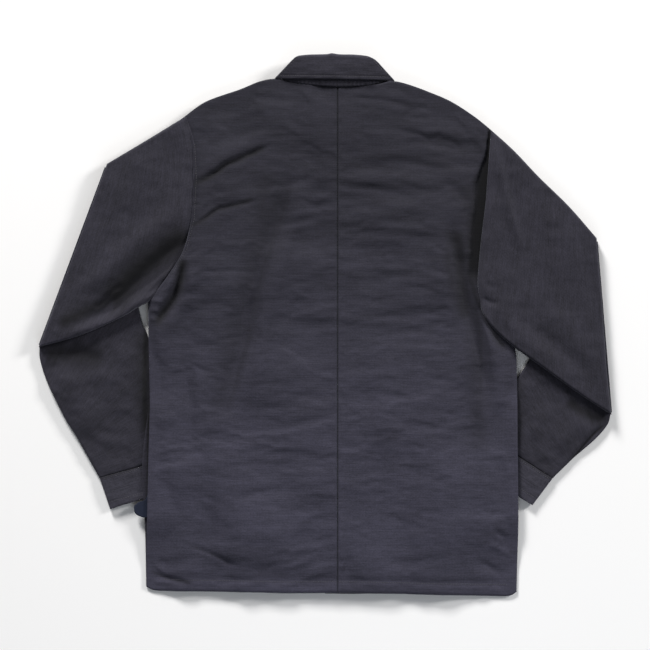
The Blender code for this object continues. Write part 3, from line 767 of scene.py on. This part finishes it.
def tube(name, grid, u, v, top, bottom, edge, close_end=False, dark=None):
    """A flattened tube of cloth, drawn as its outer skin. top is its height over the grid, bottom its
    underside, and edge how wide its long edges are rounded. close_end shuts its last row, as at a fold."""
    width, length = spans(grid)
    rise = 1 - rounded(np.minimum(u, 1 - u) * width, edge)
    if close_end:
        rise = rise * (1 - rounded((1 - v) * length, edge))
    middle, half = (top + bottom) / 2, np.maximum((top - bottom) / 2 * rise, 0.15)
    upper = np.dstack([grid, middle + half])
    lower = np.dstack([grid, middle - half])[:, -2:0:-1]
    flat_x = np.concatenate([u, 2 - u[:, -2:0:-1]], axis=1) * width.mean()
    flat_y = np.concatenate([v, v[:, -2:0:-1]], axis=1) * length.mean()
    obj = grid_object(name, np.concatenate([upper, lower], axis=1), np.dstack([flat_x, flat_y]), ring=True)
    if dark is not None:
        paint_shade_and_highlight(obj, np.concatenate([dark, np.zeros_like(lower[..., 0])], axis=1))
    face_out(obj)
    return obj


SLEEVE_FOLDS = {}
SLEEVE_FOLDS["left"] = [
    ([(-180, 138), (-206, 122), (-241, 95), (-278, 60), (-326, 20), (-384, -8)], -7.0, 15),
    ([(-190, 176), (-256, 142), (-300, 104), (-346, 66), (-400, 40)], 3.2, 16),
    ([(-246, 56), (-286, 30), (-335, 5), (-404, -22)], 2.8, 7),
    ([(-238, 74), (-252, 56), (-268, 42)], -2.0, 4),
    ([(-228, 92), (-246, 78), (-262, 62)], -1.6, 4, 0.3),
    ([(-222, 106), (-250, 90), (-276, 66)], 1.2, 5),
    ([(-300, 62), (-318, 50), (-330, 36)], -1.2, 4),
    ([(-322, 44), (-334, 34), (-346, 22)], -1.2, 3.5),
    ([(-262, 262), (-282, 200), (-304, 150)], 1.4, 26),
    ([(-330, 230), (-352, 170), (-384, 84)], -1.0, 14),
    ([(-226, 286), (-232, 230), (-228, 180)], -0.8, 12),
]
SLEEVE_FOLDS["right"] = [
    ([(250, 290), (257, 262), (262, 236), (272, 190), (286, 140), (300, 90)], 2.2, 7, 0.3),
    ([(262, 282), (270, 240), (284, 190), (300, 140)], -0.9, 9),
    ([(252, 40), (270, 10), (300, -24), (352, -62)], 1.8, 13),
    ([(286, 30), (322, -10), (370, -52), (416, -100)], -1.8, 12),
    ([(300, 60), (346, 10), (392, -40), (424, -84)], 1.2, 16),
    ([(233, 42), (246, 34), (262, 32)], -1.6, 4),
    ([(234, 66), (250, 58), (268, 60)], -1.0, 5),
    ([(330, 190), (352, 130), (366, 60)], 1.2, 26),
    ([(392, 110), (402, 40), (408, -40)], -0.9, 12),
]
FOREARM_FOLDS = {}
FOREARM_FOLDS["left"] = [
    ([(-404, -60), (-372, -112), (-338, -176)], 4.4, 26),
    ([(-412, -50), (-384, -40), (-352, -44), (-318, -62)], -1.6, 8),
    ([(-400, -78), (-366, -84), (-326, -78), (-296, -96)], 1.3, 9),
    ([(-352, -150), (-318, -164), (-286, -166)], -1.1, 8),
    ([(-336, -214), (-326, -196), (-322, -170)], -0.8, 4),
    ([(-316, -212), (-308, -192), (-306, -168)], -0.8, 4),
    ([(-296, -206), (-290, -186)], -0.7, 4),
]
FOREARM_FOLDS["right"] = [
    ([(404, -142), (374, -160), (340, -186)], 3.2, 18),
    ([(424, -144), (398, -168), (372, -199), (352, -222)], -2.2, 3.5),
    ([(334, -110), (320, -140), (312, -176)], 1.8, 14),
    ([(316, -206), (312, -186), (316, -166)], -0.8, 4),
    ([(330, -214), (330, -196)], -0.7, 4),
]


def make_sleeve(side):
    elbow = ELBOW[side]
    columns, rows = 110, 90
    grid, u, v = coons(curve(SLEEVE_LOW[side], rows), curve(SLEEVE_TOP[side], rows),
                       curve(SLEEVE_START[side], columns), line(elbow[::-1], columns), cluster=0.55)
    x, y = grid[..., 0], grid[..., 1]
    width, length = spans(grid)
    from_start = v * length
    # Painted shade in the sleeve's valleys
    dark = painted_shade_along(f"sleeve_{side}", x, y)
    if side == "left":
        top = 17.2 + 3.6 * smooth(0, 60, from_start) * (1 - 0.35 * smooth(0.6, 1.0, v))
        top = top - 3.4 * smooth(12, 2, from_start)                # tucked under the back's edge
        # A painted highlight along the underarm's turned edge
        dark = np.maximum(dark - 1.2 * bell(u * width, 4.0), -0.6) * smooth(0, 0.05, v)
    else:
        top = 20.5 + 1.5 * smooth(120, 10, from_start)
        top = top - 1.6 * rounded(from_start, 1.8) * smooth(300, 270, y)
        top = top - 5.0 * smooth(250, 292, y) * smooth(30, 0, from_start)
    top = add_folds(top, x, y, SLEEVE_FOLDS[side], 1.5)
    top = top + ripples(x, y, 21, (1.3, 55, 34), (0.6, 20, 12), (0.2, 9, 5))
    top = np.maximum(top, SLEEVE_UNDERSIDE + 2.6)
    obj = tube(f"sleeve_{side}", grid, u, v, top, SLEEVE_UNDERSIDE, 5.0, close_end=True, dark=dark)
    dress(obj, SHELL, f"sleeve_upper_{side}")
    return obj


def under_body(side, x):
    """How far x is inside the body's side edge."""
    return x + 262 if side == "left" else 282 - x


def make_forearm(side):
    outer, inner = FOREARM_OUTER[side], FOREARM_INNER[side]
    columns, rows = 80, 110
    grid, u, v = coons(curve(outer, rows), curve(inner, rows), line(ELBOW[side][::-1], columns),
                       line([outer[-1], inner[-1]], columns), cluster=0.55)
    x, y = grid[..., 0], grid[..., 1]
    top = add_folds(FOREARM_TOP, x, y, FOREARM_FOLDS[side], 1.4)
    top = top + ripples(x, y, 31, (1.2, 30, 24), (0.55, 13, 9), (0.16, 6, 5))
    # It stays flat where the body or the upper sleeve lies over it
    body = under_body(side, x)
    top = np.where(body > -14, np.minimum(top, FOREARM_TOP + 0.25 * np.clip(-body, 0, 14)), top)
    under = y - np.interp(x, *np.array(sorted(SLEEVE_LOW[side])).T)
    top = np.where(under > -10, np.minimum(top, FOREARM_TOP + 0.3 * np.clip(-under, 0, 10)), top)
    top = top - 0.9 * bell((1 - v) * spans(grid)[1], 2.0)
    # Painted shade where the body and the upper sleeve overhang the forearm
    obj = tube(f"forearm_{side}", grid, u, v, top, 0.25, 4.0, dark=painted_shade_along(f"forearm_{side}", x, y))
    dress(obj, SHELL, f"sleeve_forearm_{side}")
    return obj


def make_cuff(side):
    body = f"forearm_{side}"
    ends, seam = CUFF_END[side], [FOREARM_OUTER[side][-1], FOREARM_INNER[side][-1]]
    columns, rows = 70, 24
    stitched = (3.5, 39.0)                                         # how far down its two stitched lines are
    grid, u, v = coons(line([seam[0], ends[0]], rows), line([seam[1], ends[-1]], rows), line(seam, columns),
                       curve(ends, columns), cluster=0.55)
    x, y = grid[..., 0], grid[..., 1]
    down = v * spans(grid)[1]
    top = 8.6 + ripples(x, y, 41, (0.6, 18, 13), (0.25, 7, 5))
    for at in stitched:
        top = top - 0.35 * bell(down - at, 1.0)
    top = np.where(under_body(side, x) > -8, np.minimum(top, 8.1), top)
    # Painted shade along the seam at the cuff's top
    obj = tube(f"cuff_band_{side}", grid, u, v, top, 0.1, 3.0, dark=0.9 * bell(down, 1.6))
    dress(obj, CUFF, f"cuff_{side}", thickness=1.5)
    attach(obj, body)
    top_of = surface_of(obj)
    outer, inner = np.array(seam, float)
    way = (np.array(ends[0], float) - outer) / np.linalg.norm(np.array(ends[0], float) - outer)
    inset = (inner - outer) / np.linalg.norm(inner - outer) * 4.0
    for k, at in enumerate(stitched, 1):
        sew(f"cuff_stitch_{side}_{k}", [outer + way * at + inset, inner + way * at - inset], top_of, body)


def elbow_line(side):
    """The ends of the elbow's fold, and the direction square to it that points away from the sleeve."""
    a, b = np.array(ELBOW[side][0], float), np.array(ELBOW[side][-1], float)
    out = np.array([-(b - a)[1], (b - a)[0]])
    out /= np.linalg.norm(out)
    return a, b, out if (out[0] < 0) == (side == "left") else -out


def make_elbow_fold(side):
    """The outside of the fold, which joins the upper sleeve's top to the forearm's underside."""
    a, b, out = elbow_line(side)
    rows, columns = 81, 15
    spine = line([a + (b - a) * 0.02, b - (b - a) * 0.012], rows - 1)
    turns = np.linspace(math.radians(28), math.radians(165), columns)
    points = np.zeros((rows, columns, 3))
    points[..., :2] = spine[:, None] + out * (2.6 * np.sin(turns) - 1.6)[:, None]
    points[..., 2] = 8.4 + 7.2 * np.cos(turns)
    flat = np.dstack(np.meshgrid(np.linspace(0, 20, columns), np.linspace(0, 290, rows)))
    obj = grid_object(f"elbow_fold_{side}", points, flat)
    if (of_faces(obj, "normal")[:, :2] @ out).sum() < 0:
        obj.data.flip_normals()
    dress(obj, SHELL, offset=1.0)
    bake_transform(obj)


for side, start_x, end_x in (("left", -0.190, -0.262), ("right", 0.212, 0.290)):
    sleeve = make_sleeve(side)
    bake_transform(sleeve)
    forearm = make_forearm(side)
    a, b, out = elbow_line(side)
    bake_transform(forearm)
    make_cuff(side)
    make_elbow_fold(side)


# ---- Collar --------------------------------------------------------------------------------------

def make_stand():
    """The band round the neck. Only the strip below the leaf shows."""
    columns, rows = 120, 26
    low = [(-66, 366), (-42, 361), (-14, 357.6), (CENTRE_X, 355.6), (50, 356.6), (76, 360.6), (96, 366)]
    high = [(-36, 401.2), (-22, 402.4), (44, 402.4), (60, 400.8), (66, 398.6)]
    left = [low[0], (-64, 372), (-52, 388), high[0]]
    right = [low[-1], (94, 372), (84, 386), high[-1]]
    grid, u, v = coons(curve(left, rows), curve(right, rows), curve(low, columns), curve(high, columns),
                       cluster=0.5)
    x, y = grid[..., 0], grid[..., 1]
    from_low = v * STAND_HEIGHT
    top = 22.4 - 0.8 * smooth(9, 0, from_low) - 7.0 * smooth(46, 84, np.abs(x - LEAF_MIDDLE))
    top = top + 0.32 * np.sin(x / 0.95 + 2.0 * noise(x / 9, y / 30, 51)) * smooth(14, 2, from_low)
    top = top - 0.5 * bell(from_low - 4.0, 1.0) - 1.0 * smooth(1.5, 0, from_low)
    obj = tube("collar_stand_piece", grid, u, v, top, 2.5, 5.0)
    dress(obj, SHELL, "collar_stand", thickness=1.2)
    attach(obj, "torso")


def leaf_grid(inset):
    """The collar leaf's outline as a grid, made smaller by inset all round."""
    low = [(-75.5, 368.2), (-40, 367.2), (CENTRE_X, 366.6), (66, 365.6), (104, 365.2)]
    high = [(-38, 402.6), (-22, 404.0), (2, 404.6), (10, 405.9), (22, 404.4), (44, 403.9), (62, 402.0),
            (70, 399.0)]
    left = [low[0], (-60, 384), (-46, 398), high[0]]
    right = [low[-1], (92, 378), (78, 393), high[-1]]
    columns, rows = 130, 44
    grid, u, v = coons(curve(left, rows), curve(right, rows), curve(low, columns), curve(high, columns))
    centre, size = np.array([LEAF_MIDDLE, 384.0]), np.array([88.0, 19.0])
    return centre + (grid - centre) * (1 - inset / size), u, v


def make_leaf(name, cad, inset, drop, thickness):
    """The collar leaf, or with a drop the under collar below it."""
    grid, u, v = leaf_grid(inset)
    x, y = grid[..., 0], grid[..., 1]
    z = 26.8 + 1.2 * np.sin(math.pi * v) - 8.4 * smooth(46, 90, np.abs(x - LEAF_MIDDLE)) * (1 - 0.5 * v)
    # The leaf rolls over the stand's top
    z = z - (3.4 if drop else 8.5) * rounded((1 - v) * LEAF_HEIGHT, 6.5)
    z = z + ripples(x, y, 61, (0.9, 30, 15), (0.32, 10, 6))
    z = z + 0.5 * bell(x - 12, 5.0) * smooth(0.3, 1, v) - drop
    if not drop:
        near = np.minimum.reduce([v * LEAF_HEIGHT, u * LEAF_WIDTH, (1 - u) * LEAF_WIDTH])
        z = z - 0.42 * bell(near - 4.6, 1.0) - 0.9 * rounded(near, 1.3)
    obj = grid_object(name, np.dstack([grid, z]))
    face_up(obj)
    top_of = surface_of(obj)
    dress(obj, SHELL, cad, thickness=thickness)
    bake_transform(obj)
    return top_of


make_stand()
LEAF_TOP = make_leaf("collar_leaf_piece", "collar_leaf", 0.0, 0.0, 1.25)
make_leaf("collar_under_piece", "under_collar", 3.6, 1.55, 0.8)
for name, path in (
    ("collar_stitch_low", [(-68.5, 372.7), (-40, 371.8), (CENTRE_X, 371.2), (66, 370.2), (96.5, 369.9)]),
    ("collar_stitch_left", [(-68.5, 372.7), (-54, 387), (-42, 397.5)]),
    ("collar_stitch_right", [(96.5, 369.9), (86, 380.5), (72, 394)]),
):
    sew(name, path, LEAF_TOP, "collar")


def make_point(side, top, low, point, inner):
    """The front end of the collar, which lies under the jacket."""
    columns, rows = 40, 50
    grid = coons(line([low, point], rows), line([top, inner], rows), line([low, top], columns),
                 curve([point, ((point[0] + inner[0]) / 2, 303), inner], columns))[0]
    x, y = grid[..., 0], grid[..., 1]
    z = 0.35 + 0.12 * (1 + noise(x / 20, y / 20, 71))
    obj = grid_object(f"collar_point_piece_{side}", np.dstack([grid, z]))
    face_up(obj)
    dress(obj, SHELL, f"collar_point_{side}", thickness=1.7, offset=1.0)
    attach(obj, f"collar_point_{side}")


make_point("left", (-41, 400), (-75, 369), (-88, 292), (-6, 318))
make_point("right", (71, 400), (104, 366), (122, 290), (44, 318))


# ---- Fronts, facings, pockets and the fittings inside the neck -----------------------------------

def make_front(name, cad, grid, under, body, look=SHELL, ripple=0.35, thickness=CLOTH):
    """A piece of the front: a grid, and the height of its underside at each point."""
    x, y = grid[..., 0], grid[..., 1]
    obj = grid_object(name, np.dstack([grid, under + ripple * (1 + noise(x / 40, y / 30, len(name)))]))
    # Painted shade where the piece runs under the back's side edge
    if name == "front_side_piece":
        paint_shade_and_highlight(obj, 0.9 * smooth(-269, -264.5, x) * smooth(-330, -290, y))
    face_up(obj)
    dress(obj, look, cad, thickness=thickness, offset=1.0)
    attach(obj, body)


def left_level(grid):
    """The left front's underside."""
    x = grid[..., 0]
    return front_level(x, grid[..., 1], np.maximum(0.0, (CENTRE_X - x) / (CENTRE_X + 268.0)))


def right_level(grid):
    """The right front's underside, which is higher where the left front lies under it."""
    x = grid[..., 0]
    level = front_level(x, grid[..., 1], np.maximum(0.0, (x - CENTRE_X) / (287.0 - CENTRE_X)))
    return level + 6.3 * (1 - smooth(LEFT_EDGE + 3, LEFT_EDGE + 32, x))


def make_fronts():
    fold_x = FOLD_X - 0.3
    side = [(-268, -392), (-269, -340), (-270, -289), (-274, -211), (-265, -128), (-262, -100), (-264, -20),
            (-265, 34)]
    flank = np.concatenate([curve(side, 140), curve(ARMHOLE["left"], 60)[1:]])
    grid = coons(line([(fold_x, -399), (fold_x, 330)], 200), flank,
                 line([(fold_x, -399), (-251, -398), (-268, -392)], 30),
                 line([(fold_x, 330), ARMHOLE["left"][-1]], 30))[0]
    make_front("front_side_piece", "front_side_panel_left", grid, left_level(grid), "torso")

    fold_x = FOLD_X + 0.3
    inner = line([(fold_x, -399), (fold_x, 332)], 160)
    outer = line([(LEFT_EDGE, -401), (LEFT_EDGE, FRONT_NECK_Y)], 160)
    neck = curve([(-80, 352), (-55, 312), (-20, 293), (LEFT_EDGE, FRONT_NECK_Y)], 40)
    end = line([*line([(fold_x, 332), (-128, 350), (-80, 352)], 10)[:-1], *neck], 60)
    grid = coons(inner, outer, line([inner[0], outer[0]], 60), end)[0]
    make_front("front_left_piece", "front_panel_left", grid, left_level(grid), "front_left")

    flank = np.concatenate([curve(SIDE["right"], 110), curve(ARMHOLE["right"], 60)[1:]])
    inner = line([(RIGHT_EDGE, -402), (RIGHT_EDGE, FRONT_NECK_Y)], 170)
    neck = curve([(RIGHT_EDGE, FRONT_NECK_Y), (50, 293), (85, 312), (110, 352)], 30)
    end = line([*neck, (160, 343), (208, 320), ARMHOLE["right"][-1]], 90)
    grid = coons(inner, flank, line([inner[0], (167, -404), (271, -406), (287, -400)], 90), end)[0]
    make_front("front_right_piece", "front_panel_right", grid, right_level(grid), "torso")

    for side, x0, x1, level, above, body in (
        ("left", LEFT_EDGE - 62, LEFT_EDGE - 0.6, left_level, 1.9, "front_left"),
        ("right", RIGHT_EDGE + 0.6, LEFT_EDGE + 2, right_level, 2.0, "torso"),
    ):
        grid = rectangle(x0, x1, -398, 289, 20, 150)
        make_front(f"facing_{side}_piece", f"front_facing_{side}", grid, level(grid) + above, body,
                   INSIDE, ripple=0.12, thickness=0.8)


def make_pocket(side, seam_x, way, mouth):
    """A pocket bag. mouth is its line along the side seam, and way points into the body."""
    deep = seam_x + way * 152
    rows, columns = 60, 50
    start = curve(mouth, columns)
    end = curve([(deep, -114), (deep + way * 3, -200), (deep, -284)], columns)
    grid, u, v = coons(curve([start[0], (seam_x + way * 70, -122), end[0]], rows),
                       curve([start[-1], (seam_x + way * 80, -292), end[-1]], rows), start, end, cluster=0.4)
    x, y = grid[..., 0], grid[..., 1]
    top = 12.4 + smooth(0.08, 0.7, v) + 0.25 * noise(x / 20, y / 20, 81)
    obj = tube(f"pocket_piece_{side}", grid, u, v, top, 10.4, 3.0, close_end=True)
    dress(obj, POCKETING, f"pocket_bag_{side}", thickness=0.45, slot="pocketing")
    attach(obj, "torso")


def make_neck_fittings():
    columns, rows = 70, 24
    low = curve([(-50, 300), (CENTRE_X, 285), (88, 300)], columns)
    high = line([(-58, 350), (96, 350)], columns)
    grid, u = coons(line([low[0], high[0]], rows), line([low[-1], high[-1]], rows), low, high)[:2]
    make_front("neck_facing_piece", "neck_facing", grid, 15.4 - 1.6 * np.abs(2 * u - 1), "torso",
               INSIDE, ripple=0.1)
    grid = rectangle(-6, 44, 296, 324, 24, 14)
    x, y = grid[..., 0], grid[..., 1]
    obj = grid_object("size_label_piece", np.dstack([grid, 13.7 + 0.1 * noise(x / 12, y / 9, 91)]))
    face_up(obj)
    dress(obj, LABEL, "size_label", thickness=0.35, offset=1.0, slot="label_cloth")
    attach(obj, "torso")


make_fronts()
make_pocket("left", -262.0, 1, [(-258, -140), (-264, -205), (-266, -256), (-279, -265), (-286, -272),
                                (-283, -283), (-272, -288)])
make_pocket("right", 287.0, -1, [(284, -134), (285, -210), (284, -290)])
make_neck_fittings()

for name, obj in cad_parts.items():
    look = METAL if "snap" in name else TAPE if name == "hanger_loop" else None
    if look:
        obj.data.materials.clear()
        obj.data.materials.append(look)


# ---- Stitching on the body -----------------------------------------------------------------------

for side, past_seam in (("left", -0.6), ("right", 0.6)):
    path = [(x + past_seam * (k == 0), y + HEM) for k, (x, y) in enumerate(HEM_LINE[side][:-1])]
    sew(f"hem_stitch_{side}", path, BACK_TOP, "torso")
sew("armhole_stitch_left", [(x + 6.0, y + 2.0) for x, y in ARMHOLE["left"][1:-1]], BACK_TOP, "torso")


# ---- Floor, light and camera ---------------------------------------------------------------------

floor_mesh = bpy.data.meshes.new("floor")
far, under = 4, -0.0006
floor_mesh.from_pydata([(-far, -far, under), (far, -far, under), (far, far, under), (-far, far, under)], [],
                       [(0, 1, 2, 3)])
floor = add_object("floor", floor_mesh)
pale, tree, shader = new_material("floor_look")
put(tree, shader, Base_Color=(0.93, 0.93, 0.93, 1), Roughness=0.9)
floor_mesh.materials.append(pale)


def area_light(name, place, aim, size, watts, colour):
    lamp = bpy.data.lights.new(name, "AREA")
    lamp.shape = "SQUARE"
    lamp.size = size
    lamp.energy = watts
    lamp.color = colour
    obj = add_object(name, lamp)
    obj.location = place
    obj.rotation_euler = (Vector(aim) - Vector(place)).to_track_quat("-Z", "Y").to_euler()


area_light("key", (-2.0, 5.1, 2.8), (0, 0, 0), 1.4, 450, (1.0, 0.985, 0.97))
area_light("side", (4.6, 2.4, 2.5), (0, 0, 0), 1.2, 210, (1.0, 0.985, 0.97))
area_light("hem", (0.25, -1.4, 1.3), (0, -0.3, 0), 1.0, 6, (0.84, 0.91, 1.0))
scene = bpy.context.scene
scene.world = bpy.data.worlds.new("studio")
scene.world.use_nodes = True
put(scene.world.node_tree, scene.world.node_tree.nodes["Background"], Color=(1, 1, 1, 1), Strength=0.16)
scene.view_settings.view_transform = "Standard"

CAMERA_HEIGHT, FRAME_WIDTH = 4.2, 0.975                            # in metres
lens = bpy.data.cameras.new("camera")
lens.sensor_width = 36.0
lens.lens = lens.sensor_width * CAMERA_HEIGHT / FRAME_WIDTH
lens.clip_end = 50
scene.camera = add_object("camera", lens)
scene.camera.location = (0.0, 0.0, CAMERA_HEIGHT)
